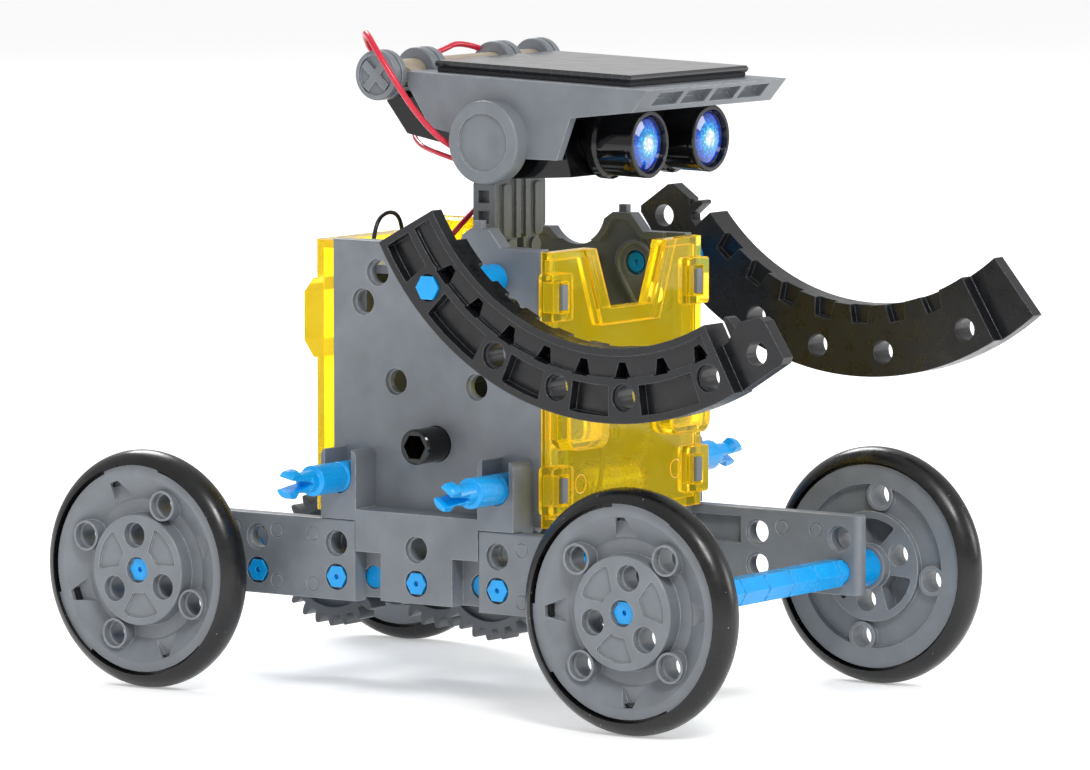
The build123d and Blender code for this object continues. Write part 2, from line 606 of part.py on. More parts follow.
def make_shell(side):
    scallop_y, scallop_z, scallop_r = SCALLOP
    top = BODY_Z[1]
    half_chord = sqrt(scallop_r**2 - (scallop_z - top) ** 2)
    bump_start_z = 85.6
    bump_start_y = scallop_y - sqrt(scallop_r**2 - (scallop_z - bump_start_z) ** 2)
    with BuildPart() as shell:
        with BuildSketch(yz(side * BODY_HALF_X)) as outline:
            with BuildLine():
                Polyline(
                    (scallop_y + half_chord, top), (BODY_HALF_Y, top), (BODY_HALF_Y, BODY_Z[0]),
                    (-BODY_HALF_Y, BODY_Z[0]), (-BODY_HALF_Y, top), (-14.4, top), (-11.6, BUMP_TOP_Z),
                    (-7.6, BUMP_TOP_Z), (bump_start_y, bump_start_z),
                )
                ThreePointArc((bump_start_y, bump_start_z), (scallop_y, scallop_z - scallop_r),
                              (scallop_y + half_chord, top))
            outline_face = make_face()
        extrude(amount=-side * SHELL_T)
        outer_rim = shell.faces().sort_by(Axis.X)[0 if side < 0 else -1].edges()
        fillet(outer_rim, 0.45)
        # inward flanges along the front, rear and the flat parts of the top
        for y, z, depth, height in (
            (-BODY_HALF_Y + 0.9, 58.0, 1.8, 40.0), (BODY_HALF_Y - 0.9, 58.4, 1.8, 49.0),
        ):
            with BuildSketch(yz(side * (BODY_HALF_X - SHELL_T))):
                with Locations((y, z)):
                    Rectangle(depth, height)
            extrude(amount=-side * 2.2)
        # rim along the top edge, inside
        with BuildSketch(yz(side * (BODY_HALF_X - SHELL_T + 0.01))):
            add(outline_face)
            offset(amount=-1.3, kind=Kind.INTERSECTION, mode=Mode.SUBTRACT)
            with Locations((0, 60)):
                Rectangle(80, 2 * (81.4 - 60), mode=Mode.SUBTRACT)
            for hand in (-1, 1):
                with Locations((hand * 24.0, 84)):
                    Rectangle(10, 10, mode=Mode.SUBTRACT)
        extrude(amount=-side * 0.9)
        # rounded boss with the two pin seats inside, its face sunk within a rim
        for boss_r, depth, mode in ((4.2, 2.0, Mode.ADD), (3.5, 0.5, Mode.SUBTRACT)):
            base_x = BODY_HALF_X - SHELL_T if mode == Mode.ADD else BODY_HALF_X - SHELL_T - 2.0
            with BuildSketch(yz(side * base_x)):
                for centre in (ARM_PIVOT, BOSS_LOW):
                    with Locations(centre):
                        Circle(boss_r)
                with Locations(((ARM_PIVOT[0] + BOSS_LOW[0]) / 2, (ARM_PIVOT[1] + BOSS_LOW[1]) / 2)):
                    Rectangle(BOSS_SPAN, 2 * boss_r, rotation=BOSS_TURN)
            extrude(amount=-side * depth if mode == Mode.ADD else side * depth, mode=mode)
        for y, z in BODY_HOLES:
            for hand in (-1, 1):
                radius = BORE_R if (hand * y, z) == ARM_PIVOT else HOLE_R
                kit_hole(side, BODY_HALF_X - SHELL_T, BODY_HALF_X, (hand * y, z), radius)
        with BuildSketch(yz(side * (BODY_HALF_X - 12))):
            with Locations(OUTPUT):
                Circle(3.33)
        extrude(amount=side * 20, mode=Mode.SUBTRACT)
        # locating nub on top of the bump
        with BuildSketch(Plane.XY.offset(BUMP_TOP_Z - 0.2)):
            with Locations((side * (BODY_HALF_X - SHELL_T / 2), -9.0)):
                Rectangle(1.4, 1.7)
        extrude(amount=1.6)
    return shell.part


for side, word in SIDES.items():
    save(make_shell(side), f"body_shell_{word}")

INNER_X = BODY_HALF_X - SHELL_T - 0.05
with BuildPart() as neck_bridge:
    with BuildSketch(Plane.XY.offset(73.0)):
        with Locations((0, 2.0)):
            Rectangle(2 * INNER_X, 12)
    extrude(amount=6.0)
    with BuildSketch(Plane.XY.offset(36.0)):
        with Locations((0, 18.2)):
            Rectangle(2 * INNER_X, 1.6)
    extrude(amount=43.0)
    with BuildSketch(Plane.XY.offset(77.4)):
        with Locations((0, 12.0)):
            Rectangle(2 * INNER_X, 12.0)
    extrude(amount=1.6)
    with BuildSketch(Plane.XY.offset(72.0)):
        with Locations((0, 0.85)):
            Rectangle(12.2, 5.2)
    extrude(amount=8.0, mode=Mode.SUBTRACT)
save(neck_bridge.part, "inner_frame")

# ---- motor cradle: a shelf under the motor ----
with BuildPart() as motor_cradle:
    with BuildSketch(Plane(origin=(-6.0, 0, 0), x_dir=(0, 1, 0), z_dir=(1, 0, 0))):
        with BuildLine():
            Polyline((-22.6, 33.4), (-11.5, 33.4), (-11.5, 38.6), (-22.6, 38.6), (-22.6, 33.4))
        make_face()
        with Locations(MOTOR):
            Circle(MOTOR_R + 0.02, mode=Mode.SUBTRACT)
    extrude(amount=12.0)
save(motor_cradle.part, "motor_cradle")

# ---- clear covers ----
COVER_T = 1.5
FRONT_FACE_Y = -25.7
REAR_FACE_Y = 28.3
COVER_Z = (33.2, 83.2)
NOTCH = ((11.4, 83.3), (6.7, 72.0))   # half widths and heights of the front cover's notch


def xz(y):
    """Sketch plane square to Y, with local x = X and local y = Z, facing -Y."""
    return Plane(origin=(0, y, 0), x_dir=(1, 0, 0), z_dir=(0, -1, 0))


with BuildPart() as front_cover:
    height = COVER_Z[1] - COVER_Z[0]
    with BuildSketch(xz(-BODY_HALF_Y)):
        with Locations((0, sum(COVER_Z) / 2)):
            Rectangle(2 * BODY_HALF_X, height)
    extrude(amount=-FRONT_FACE_Y - BODY_HALF_Y)
    fillet(front_cover.edges().filter_by(Axis.Z).group_by(Axis.Y)[0], 1.0)
    with BuildSketch(xz(-BODY_HALF_Y)):
        with Locations((0, sum(COVER_Z) / 2)):
            Rectangle(2 * (BODY_HALF_X - COVER_T), height - 2 * COVER_T)
    extrude(amount=-FRONT_FACE_Y - BODY_HALF_Y - COVER_T, mode=Mode.SUBTRACT)
    # sloping-sided notch with a raised rim
    (top_half, top_z), (bottom_half, bottom_z) = NOTCH
    with BuildSketch(xz(-BODY_HALF_Y)):
        Polygon((-top_half - 3.4, 83.2), (-top_half, 83.2), (-bottom_half, bottom_z), (bottom_half, bottom_z),
                (top_half, 83.2), (top_half + 3.4, 83.2), (bottom_half + 2.6, bottom_z - 3.0),
                (-bottom_half - 2.6, bottom_z - 3.0), align=None)
    extrude(amount=-FRONT_FACE_Y - BODY_HALF_Y + 0.7)
    with BuildSketch(xz(-BODY_HALF_Y + 5)):
        Polygon((-top_half, 84), (-bottom_half, bottom_z), (bottom_half, bottom_z), (top_half, 84), align=None)
    extrude(amount=20, mode=Mode.SUBTRACT)
    # two rounded housings standing out of the face, hollow behind
    for x in (-16.6, 16.6):
        with BuildSketch(xz(-BODY_HALF_Y)):
            with Locations((x, 52.0)):
                RectangleRounded(12.4, 9.6, 2.6)
        extrude(amount=5.2)
        with BuildSketch(xz(-BODY_HALF_Y)):
            with Locations((x, 52.0)):
                RectangleRounded(9.8, 7.0, 1.4)
        extrude(amount=3.9, mode=Mode.SUBTRACT)
    # four latch windows with hooks of the shells behind them
    for x in (-BODY_HALF_X + 2.4, BODY_HALF_X - 2.4):
        for z in (40.0, 75.0):
            with BuildSketch(xz(-BODY_HALF_Y)):
                with Locations((x, z)):
                    RectangleRounded(6.4, 8.6, 0.8)
            extrude(amount=-FRONT_FACE_Y - BODY_HALF_Y + 0.8)
    for x in (-BODY_HALF_X + 2.6, BODY_HALF_X - 2.6):
        for z in (40.0, 75.0):
            with BuildSketch(xz(-BODY_HALF_Y + 5)):
                with Locations((x, z)):
                    Rectangle(3.2, 5.6)
            extrude(amount=20, mode=Mode.SUBTRACT)
save(front_cover.part, "front_cover")

with BuildPart() as rear_cover:
    with BuildSketch(xz(BODY_HALF_Y)):
        with Locations((0, sum(COVER_Z) / 2)):
            Rectangle(2 * (BODY_HALF_X - 0.8), COVER_Z[1] - COVER_Z[0])
    extrude(amount=-(REAR_FACE_Y - BODY_HALF_Y))
    fillet(rear_cover.edges().filter_by(Axis.Z).group_by(Axis.Y)[-1], 1.6)
    # raised band across the middle
    with BuildSketch(yz(-BODY_HALF_X + 0.8)):
        Polygon((BODY_HALF_Y, 76.0), (REAR_FACE_Y, 76.0), (30.4, 73.4), (30.4, 64.4), (REAR_FACE_Y, 61.4),
                (BODY_HALF_Y, 61.4), align=None)
    extrude(amount=2 * (BODY_HALF_X - 0.8))
    with BuildSketch(xz(BODY_HALF_Y)):
        with Locations((0, sum(COVER_Z) / 2)):
            Rectangle(2 * (BODY_HALF_X - 0.8 - COVER_T), COVER_Z[1] - COVER_Z[0] - 2 * COVER_T)
    extrude(amount=-(REAR_FACE_Y - BODY_HALF_Y - COVER_T), mode=Mode.SUBTRACT)
    # round cap housing on top, reaching forward over the inner frame
    with BuildSketch(xz(15.0)):
        with Locations((9.0, 81.2)):
            Circle(4.6)
        with Locations((0, 79.2)):
            Rectangle(60, 10, align=(Align.CENTER, Align.MAX), mode=Mode.SUBTRACT)
    extrude(amount=-9.0)
    # clearance over the middle gear
    with BuildSketch(Plane.XY.offset(COVER_Z[0] - 1)):
        with Locations((sum(LAYER_2) / 2, BODY_HALF_Y + 2)):
            Rectangle(LAYER_2[1] - LAYER_2[0] + 1.4, 5.0)
    extrude(amount=2.6, mode=Mode.SUBTRACT)
save(rear_cover.part, "rear_cover")

# ---- arms ----
ARM_HOLES = (36.5, 16.0, 0.0, -16.0, -36.5)
TONGUE_HOLE = -47.0
ARM_T = ARM_X[1] - ARM_X[0]
ARM_MIDDLE = {RIGHT: 12.1, LEFT: 10.1}     # lean of the arm's middle behind straight down
ARM_HINGE_HOLE = {RIGHT: 36.5, LEFT: -36.5}


def arm_frame(side):
    """Ring centre (y, z) and the rule that turns arm coordinates into y, z."""
    flip = 1 if side == RIGHT else -1
    hinge = radians(ARM_MIDDLE[side] + flip * ARM_HINGE_HOLE[side])
    centre = (ARM_PIVOT[0] - ARM_RING_R * sin(hinge), ARM_PIVOT[1] + ARM_RING_R * cos(hinge))

    def at(radius, angle):
        turned = radians(ARM_MIDDLE[side] + flip * angle)
        return (centre[0] + radius * sin(turned), centre[1] - radius * cos(turned))

    return centre, at


def ring_sector(at, inner, outer, start, end):
    """Face between two radii and two angles, made inside a BuildSketch."""
    middle = (start + end) / 2
    with BuildLine() as outline:
        ThreePointArc(at(outer, start), at(outer, middle), at(outer, end))
        Line(at(outer, end), at(inner, end))
        ThreePointArc(at(inner, end), at(inner, middle), at(inner, start))
        Line(at(inner, start), at(outer, start))
    make_face(outline.edges())


def make_arm(side):
    _, at = arm_frame(side)
    x_inner, x_outer = side * ARM_X[0], side * ARM_X[1]
    with BuildPart() as arm:
        with BuildSketch(yz(x_inner)):
            ring_sector(at, ARM_INNER_R, ARM_OUTER_R, -40.6, 49.8)
        extrude(amount=side * ARM_T)
        # the lap at the plain end is cut back on the inner face
        with BuildSketch(yz(x_inner)):
            ring_sector(at, ARM_INNER_R - 1, ARM_OUTER_R + 1, 41.4, 52.0)
        extrude(amount=side * 3.0, mode=Mode.SUBTRACT)
        # the tongue at the other end, in the inner half of the thickness
        with BuildSketch(yz(x_inner)):
            with BuildLine():
                Polyline(at(55.9, -40.0), at(56.0, -50.4), at(55.4, -51.4), at(48.0, -52.4), at(46.9, -51.9),
                         at(45.0, -46.6), at(45.8, -45.5), at(43.4, -44.9), at(42.9, -44.3), at(43.1, -43.6),
                         at(46.4, -43.3), at(47.0, -42.2), at(47.0, -40.0), at(55.9, -40.0))
            make_face()
        extrude(amount=side * 3.0)
        # inner track: a sunk channel, crossed by deep notches
        with BuildSketch(yz(x_outer)):
            ring_sector(at, 44.2, 47.9, -38.6, 48.4)
        extrude(amount=-side * 0.9, mode=Mode.SUBTRACT)
        with BuildSketch(yz(x_outer)):
            for angle in (-36.0, -25.7, -15.4, -5.1, 5.1, 15.4, 25.7, 36.0):
                with BuildLine():
                    Polyline(at(45.3, angle - 0.9), at(48.2, angle - 2.0), at(48.2, angle + 2.0),
                             at(45.3, angle + 0.9), at(45.3, angle - 0.9))
                make_face()
        extrude(amount=-side * 4.4, mode=Mode.SUBTRACT)
        # pockets between the holes
        with BuildSketch(yz(x_outer)):
            for start, end in ((40.4, 48.4), (19.8, 33.0), (3.6, 12.4), (-12.4, -3.6), (-33.0, -19.8)):
                ring_sector(at, 49.4, 54.8, start, end)
        extrude(amount=-side * (ARM_T - 3.0 - 0.7), mode=Mode.SUBTRACT)
        # gear teeth along the inner edge, seen from the inner face
        with BuildSketch(yz(x_inner)):
            for angle in (-31.0, -20.6, -10.3, 0.0, 10.3, 20.6, 31.0):
                with BuildLine():
                    Polyline(at(41.0, angle - 3.4), at(41.0, angle + 3.4), at(46.2, angle + 2.0),
                             at(46.2, angle - 2.0), at(41.0, angle - 3.4))
                make_face()
        extrude(amount=side * 1.6, mode=Mode.SUBTRACT)
        for angle in ARM_HOLES:
            kit_hole(side, *ARM_X, at(ARM_RING_R, angle))
        kit_hole(side, *ARM_X, at(ARM_RING_R + 0.2, TONGUE_HOLE))
    return arm.part


for side, word in SIDES.items():
    save(make_arm(side), f"arm_{word}")
    with BuildPart() as arm_pin:
        inside = BODY_HALF_X - SHELL_T - 1.2
        add_rod(sorted((side * inside, side * (inside + 0.8))), ARM_PIVOT, 1.8)
        add_rod(sorted((side * (inside + 0.8), side * (BODY_HALF_X + 0.2))), ARM_PIVOT, JOURNAL_R)
        add_end_dimple(side * inside, ARM_PIVOT, -side)
        add_rod(sorted((side * (BODY_HALF_X + 0.15), side * (ARM_X[0] - 0.05))), ARM_PIVOT, 2.9)
        add_rod(sorted((side * (ARM_X[0] - 0.1), side * (ARM_X[1] - SINK_DEPTH))), ARM_PIVOT, FIXED_PIN_R)
        add_hex_rod(sorted((side * (ARM_X[1] - SINK_DEPTH), side * (ARM_X[1] + 0.5))), ARM_PIVOT, 4.15)
    save(arm_pin.part, f"arm_pin_{word}")

# ---- neck ----
NECK_HALF_X, NECK_Y = 8.1, (-1.6, 3.3)
NECK_Z = (73.0, 96.0)
for side, word in SIDES.items():
    inner, outer = sorted((side * 0.05, side * NECK_HALF_X))
    with BuildPart() as neck:
        with BuildSketch(xz(NECK_Y[1])):
            Polygon(
                (side * 0.05, NECK_Z[0]), (side * 5.8, NECK_Z[0]), (side * 5.8, 79.2), (side * 5.2, 81.0),
                (side * 5.8, 83.4), (side * NECK_HALF_X, 85.4), (side * NECK_HALF_X, 93.4),
                (side * 6.6, NECK_Z[1]), (side * 0.05, NECK_Z[1]),
                align=None,
            )
        extrude(amount=NECK_Y[1] - NECK_Y[0])
        # tongue reaching forward and up to the head's pivot
        with BuildSketch(yz(side * 0.05)):
            with BuildLine():
                Polyline((NECK_Y[1], 92.0), (NECK_Y[1], 98.5), (EAR_Y + 2.0, EAR_Z + 3.6), (EAR_Y, EAR_Z + 3.9),
                         (EAR_Y - 3.0, EAR_Z + 2.4), (EAR_Y - 3.4, EAR_Z - 2.0), (NECK_Y[0], 95.0),
                         (NECK_Y[0], 92.0), (NECK_Y[1], 92.0))
            make_face()
        extrude(amount=side * 6.0)
        with BuildSketch(yz(side * 0.05)):
            with Locations((EAR_Y, EAR_Z)):
                Circle(BORE_R)
        extrude(amount=side * 8.0, mode=Mode.SUBTRACT)
        # square windows in the outer side and ribs on the front
        with BuildSketch(yz(side * NECK_HALF_X)):
            with Locations((0.9, 91.2), (0.9, 87.4)):
                Rectangle(2.5, 2.3)
        extrude(amount=-side * 1.6, mode=Mode.SUBTRACT)
        with BuildSketch(xz(NECK_Y[0])):
            with Locations((side * 5.0, 88.6)):
                RectangleRounded(2.2, 9.6, 0.6)
            with Locations((side * 1.5, 89.2)):
                Rectangle(1.4, 11.6)
        extrude(amount=0.7)
        # clamp boss
        with BuildSketch(xz(NECK_Y[0])):
            with Locations((side * 3.9, 81.8)):
                Circle(1.4)
        extrude(amount=0.9)
        # gap between the halves, with a groove along the seam above it
        with BuildSketch(xz(NECK_Y[0])):
            Polygon((side * 0.04, 84.6), (side * 1.0, 83.4), (side * 1.3, 79.6), (side * 0.04, 79.6), align=None)
            with Locations((side * 0.2, 89.4)):
                Rectangle(0.4, 10.0)
        extrude(amount=-1.6, mode=Mode.SUBTRACT)
    save(neck.part, f"neck_{word}")

# ---- head ----
KNOB_Y, KNOB_Z, KNOB_R = 11.9, 114.0, 4.6
INNER_KNOB_X = (10.0, 14.4)
CORE_HALF_X = 20.3
PLATE_T = 1.7
VISOR_TOP = ((7.8, 114.7), (-45.2, 113.0))     # y, z of the top's rear and front edges


def cut_knob_recesses():
    """Clear room for the two inner knobs in the part being built."""
    for side in SIDES:
        low, high = sorted((side * INNER_KNOB_X[0], side * INNER_KNOB_X[1]))
        with BuildSketch(facing_x(low - 0.4, (KNOB_Y, KNOB_Z))) as recess:
            Circle(KNOB_R + 0.3)
        extrude(recess.sketch, amount=high - low + 0.8, mode=Mode.SUBTRACT)


with BuildPart() as head_core:
    with BuildSketch(yz(-CORE_HALF_X)):
        Polygon((12.0, 110.9), (14.0, 109.0), (9.4, 103.2), (-0.4, 101.4), (-4.4, 96.2), (-12.0, 95.7),
                (-27.0, 96.6), (-24.0, 106.6), (-20.0, 108.0), (-6.0, 111.4), align=None)
    extrude(amount=2 * CORE_HALF_X)
    fillet(head_core.edges().filter_by(Axis.X).group_by(Axis.Z)[0], 0.8)
    # slot for the neck's tongue, open below and behind
    with BuildSketch(yz(-6.6)):
        with BuildLine():
            Polyline((EAR_Y - 5.6, 90.0), (EAR_Y - 5.6, EAR_Z + 3.0), (EAR_Y - 2.0, EAR_Z + 5.4),
                     (EAR_Y + 6.0, EAR_Z + 5.4), (8.6, 101.2), (8.6, 90.0), (EAR_Y - 5.6, 90.0))
        make_face()
    extrude(amount=13.2, mode=Mode.SUBTRACT)
    with BuildSketch(yz(-CORE_HALF_X)):
        with Locations((EAR_Y, EAR_Z)):
            Circle(FIXED_PIN_R + 0.02)
    extrude(amount=2 * CORE_HALF_X, mode=Mode.SUBTRACT)
    # sockets for the eye barrels
    for x in (-EYE_X, EYE_X):
        with BuildSketch(xz(-20.0)):
            with Locations((x, EYE_Z)):
                Circle(5.0)
        extrude(amount=10, mode=Mode.SUBTRACT)
    cut_knob_recesses()
save(head_core.part, "head_core")



def eye_section(x):
    """Sketch plane through an eye's axis, with local x = the distance forward of Y = 0."""
    return Plane(origin=(x, 0, EYE_Z), x_dir=(0, -1, 0), z_dir=(1, 0, 0))


for side, word in SIDES.items():
    x = side * EYE_X
    with BuildPart() as eye:
        with BuildSketch(eye_section(x)):
            Polygon(
                (20.1, 0), (20.1, 4.95), (27.4, 4.95), (27.4, 6.6), (28.9, 6.6), (29.3, 5.95),
                (35.6, EYE_R - 0.05), (36.2, EYE_R), (36.9, EYE_R), (37.1, EYE_R - 0.2), (37.1, 5.3),
                (36.0, 5.0), (36.0, 0),
                align=None,
            )
        revolve(axis=Axis((x, 0, EYE_Z), (0, -1, 0)))
    save(eye.part, f"eye_{word}")

with BuildPart() as eye_lenses:
    for x in (-EYE_X, EYE_X):
        with BuildSketch(eye_section(x)) as lens_profile:
            Polygon((36.0, 0), (36.0, 4.95), (36.3, 4.5), (36.6, 3.2), (36.8, 1.6), (36.8, 0), align=None)
        revolve(lens_profile.sketch, axis=Axis((x, 0, EYE_Z), (0, -1, 0)))
save(eye_lenses.part, "eye_lenses")

top_slope = (VISOR_TOP[0][1] - VISOR_TOP[1][1]) / (VISOR_TOP[0][0] - VISOR_TOP[1][0])


def visor_top_z(y):
    return VISOR_TOP[1][1] + (y - VISOR_TOP[1][0]) * top_slope


with BuildPart() as visor:
    # top plate with its thick front lip
    with BuildSketch(yz(-HEAD_HALF_X)):
        Polygon(VISOR_TOP[0], VISOR_TOP[1], (-41.7, 108.9), (-38.6, 109.0), (-38.6, visor_top_z(-38.6) - PLATE_T),
                (7.8, VISOR_TOP[0][1] - PLATE_T), align=None)
    extrude(amount=2 * HEAD_HALF_X)
    # side plates
    for side in SIDES:
        with BuildSketch(yz(side * HEAD_HALF_X)):
            Polygon(VISOR_TOP[0], VISOR_TOP[1], (-41.7, 108.9), (-28.3, 107.4), (-25.3, 99.7), (-18.6, 99.7),
                    (-11.5, 102.0), (-4.0, 103.4), (2.7, 104.7), (7.6, 112.1), align=None)
        extrude(amount=-side * 1.9)
    # pockets in the front lip, leaving upright ribs
    rib_edges = (-18.6, -9.3, 0.0, 9.3, 18.6)
    for left, right in zip(rib_edges[:-1], rib_edges[1:]):
        lip = Plane(origin=(0, -43.5, 111.1), x_dir=(1, 0, 0), z_dir=(0, -3.7, -3.5))
        with BuildSketch(lip.offset(2.0)):
            with Locations(((left + right) / 2, 0)):
                Rectangle(right - left - 1.4, 3.2)
        extrude(amount=-3.6, mode=Mode.SUBTRACT)
    with BuildSketch(yz(-30)):
        with Locations((EAR_Y, EAR_Z)):
            Circle(FIXED_PIN_R + 0.02)
    extrude(amount=60, mode=Mode.SUBTRACT)
    cut_knob_recesses()
save(visor.part, "visor")

PANEL_HALF_X, PANEL_Y, PANEL_T = 19.5, (-39.3, 4.2), 2.1
with BuildPart() as solar_panel:
    with BuildSketch(yz(-PANEL_HALF_X)):
        rear_z, front_z = visor_top_z(PANEL_Y[1]) + 0.02, visor_top_z(PANEL_Y[0]) + 0.02
        Polygon((PANEL_Y[1], rear_z), (PANEL_Y[1], rear_z + PANEL_T), (PANEL_Y[0], front_z + PANEL_T),
                (PANEL_Y[0], front_z), align=None)
    extrude(amount=2 * PANEL_HALF_X)
    chamfer(solar_panel.edges().group_by(Axis.Z)[-1], 0.6)
save(solar_panel.part, "solar_panel")

EAR_X = (HEAD_HALF_X, 26.2)
EAR_CAP_R, EAR_DISC_R = 7.6, 5.3
for side, word in SIDES.items():
    with BuildPart() as ear_cap:
        add_rod(sorted((side * EAR_X[0], side * EAR_X[1])), (EAR_Y, EAR_Z), EAR_CAP_R)
        fillet(ear_cap.edges().filter_by(GeomType.CIRCLE).group_by(Axis.X)[0 if side < 0 else -1], 0.5)
        with BuildSketch(facing_x(side * EAR_X[1], (EAR_Y, EAR_Z))):
            Circle(EAR_DISC_R)
        extrude(amount=-side * 0.45, mode=Mode.SUBTRACT)
    save(ear_cap.part, f"ear_cap_{word}")

with BuildPart() as head_axle:
    add_rod((-6.6, 6.6), (EAR_Y, EAR_Z), JOURNAL_R)
    for side in SIDES:
        add_rod(sorted((side * 6.55, side * (HEAD_HALF_X - 0.02))), (EAR_Y, EAR_Z), FIXED_PIN_R)
save(head_axle.part, "head_axle")

# ---- rear knobs on the head's cross rod ----
KNOB_ROD_R = 2.6
with BuildPart() as knob_rod:
    add_rod((-23.0, 23.0), (KNOB_Y, KNOB_Z), KNOB_ROD_R)
    for x in (-19.0, 0.0, 19.0):
        with BuildSketch(yz(x - 1.5)):
            Polygon((7.85, 113.1), (7.85, 114.6), (KNOB_Y - 1.8, 115.6), (KNOB_Y - 1.8, 112.4), align=None)
        extrude(amount=3.0)
save(knob_rod.part, "knob_rod")

KNOB_CENTRE = (KNOB_Y, KNOB_Z)
OUTER_KNOB_X = (23.0, 26.8)


def make_knob(x_low, x_high):
    """A grooved knob, as a loose part."""
    with BuildPart() as knob:
        add_rod((x_low, x_high), KNOB_CENTRE, KNOB_R)
        fillet(knob.edges().filter_by(GeomType.CIRCLE), 0.5)
        with BuildSketch(yz((x_low + x_high) / 2 - 0.3)):
            with Locations(KNOB_CENTRE):
                Circle(KNOB_R + 1)
                Circle(KNOB_R - 0.45, mode=Mode.SUBTRACT)
        extrude(amount=0.6, mode=Mode.SUBTRACT)
    return knob.part


with BuildPart() as knobs:
    for side in SIDES:
        for near, far in (INNER_KNOB_X, OUTER_KNOB_X):
            add(make_knob(*sorted((side * near, side * far))))
    with BuildSketch(facing_x(-HEAD_HALF_X, KNOB_CENTRE)) as rod_bore:
        Circle(KNOB_ROD_R + 0.02)
    extrude(rod_bore.sketch, amount=2 * HEAD_HALF_X, mode=Mode.SUBTRACT)
    for side in SIDES:
        with BuildSketch(facing_x(side * OUTER_KNOB_X[1], KNOB_CENTRE)) as dish:
            Circle(3.7)
        extrude(dish.sketch, amount=-side * 0.6, mode=Mode.SUBTRACT)
        with BuildSketch(facing_x(side * OUTER_KNOB_X[1], KNOB_CENTRE)) as cross:
            Rectangle(6.6, 1.5, rotation=40)
            Rectangle(6.6, 1.5, rotation=130)
        extrude(cross.sketch, amount=-side * 0.65)
save(knobs.part, "knobs")

# ---- leads: straight runs joined by tangent arcs ----
LEADS = {
    # from the panel's rear edge, behind the knobs, over the right outer knob and down to the core
    "red_lead_upper": (1.1, (
        (9.9, 14.7, 117.2), (5.6, 16.2, 118.6), (0.4, 16.2, 117.2), (-6.0, 17.6, 115.6),
        (-12.6, 18.6, 115.4), (-18.4, 18.6, 117.4), (-22.4, 17.4, 120.6), (-26.2, 14.4, 122.0),
        (-28.6, 10.2, 118.6), (-28.4, 6.4, 113.4), (-27.0, 3.6, 108.6), (-25.3, 0.8, 104.6),
        (-23.4, -2.0, 101.6), (-20.9, -4.4, 99.9),
    )),
    # along the back of the core, round its lower corner and forward to its side
    "red_lead_lower": (0.9, (
        (-3.4, 13.5, 107.0), (-6.6, 14.4, 105.8), (-10.8, 13.8, 104.6), (-14.6, 12.2, 102.6),
        (-17.4, 8.8, 101.0), (-20.0, 4.6, 100.3), (-22.0, 0.9, 99.9), (-21.7, -2.2, 99.0),
        (-20.8, -4.1, 98.3),
    )),
    # out of the body, up behind the neck and into its left side
    "neck_lead": (1.0, (
        (-10.0, 9.6, 79.3), (-10.2, 9.0, 81.8), (-9.2, 6.6, 84.6), (-6.0, 5.8, 87.4),
        (-1.2, 6.2, 89.6), (4.0, 6.6, 91.2), (8.8, 6.0, 92.8), (11.4, 3.2, 92.9), (10.4, 1.0, 91.6),
        (8.1, 0.9, 91.2),
    )),
    # a loop between the inner frame and the rear cover, showing above the body
    "rear_lead": (0.8, (
        (-15.8, 19.6, 69.0), (-15.8, 21.1, 73.0), (-15.0, 21.4, 80.6), (-13.2, 21.2, 87.4),
        (-6.4, 21.2, 87.6), (-4.8, 21.4, 80.6), (-4.4, 21.1, 73.0), (-4.4, 19.6, 69.0),
    )),
    "motor_lead_upper": (0.9, (
        (-11.2, -18.0, 41.9), (-13.4, -18.4, 42.4), (-15.4, -20.0, 45.4), (-13.4, -22.0, 49.2),
        (-8.8, -22.8, 50.4), (-5.4, -22.7, 47.4), (-5.6, -23.3, 43.0), (-7.2, -23.5, 38.6),
        (-8.6, -22.8, 35.4), (-6.9, -21.4, 34.2),
    )),
    "motor_lead_lower": (0.9, (
        (-10.4, -17.8, 35.3), (-13.0, -18.2, 34.8), (-16.0, -19.6, 36.4), (-17.0, -21.2, 40.6),
        (-15.2, -22.0, 45.0), (-16.2, -21.6, 49.8), (-18.2, -20.2, 54.0), (-20.6, -18.8, 56.6),
        (-21.5, -17.9, 57.3),
    )),
}


def arc_radii(points):
    """Radius of the arc at each inner point: as large as its two runs allow."""
    radii = []
    for before, corner, after in zip(points, points[1:], points[2:]):
        run_in = Vector(*corner) - Vector(*before)
        run_out = Vector(*after) - Vector(*corner)
        half_turn = radians(run_in.get_angle(run_out)) / 2
        radii.append(0.45 * min(run_in.length, run_out.length) / tan(half_turn))
    return radii


for name, (diameter, points) in LEADS.items():
    with BuildPart() as lead:
        with BuildLine() as route:
            FilletPolyline(*points, radius=arc_radii(points))
        with BuildSketch(Plane(origin=route.wire() @ 0, z_dir=route.wire() % 0)):
            Circle(diameter / 2)
        sweep(path=route.wire())
    length = route.wire().length
    expected = length * pi * diameter**2 / 4
    print(f"{name}: length {length:.1f}, tightest arc {min(arc_radii(points)):.1f},"
          f" volume {lead.part.volume / expected:.3f} of expected")
    save(lead.part, name)
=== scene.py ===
from math import cos, pi, sin

import bmesh
import bpy
from mathutils import Matrix, Vector


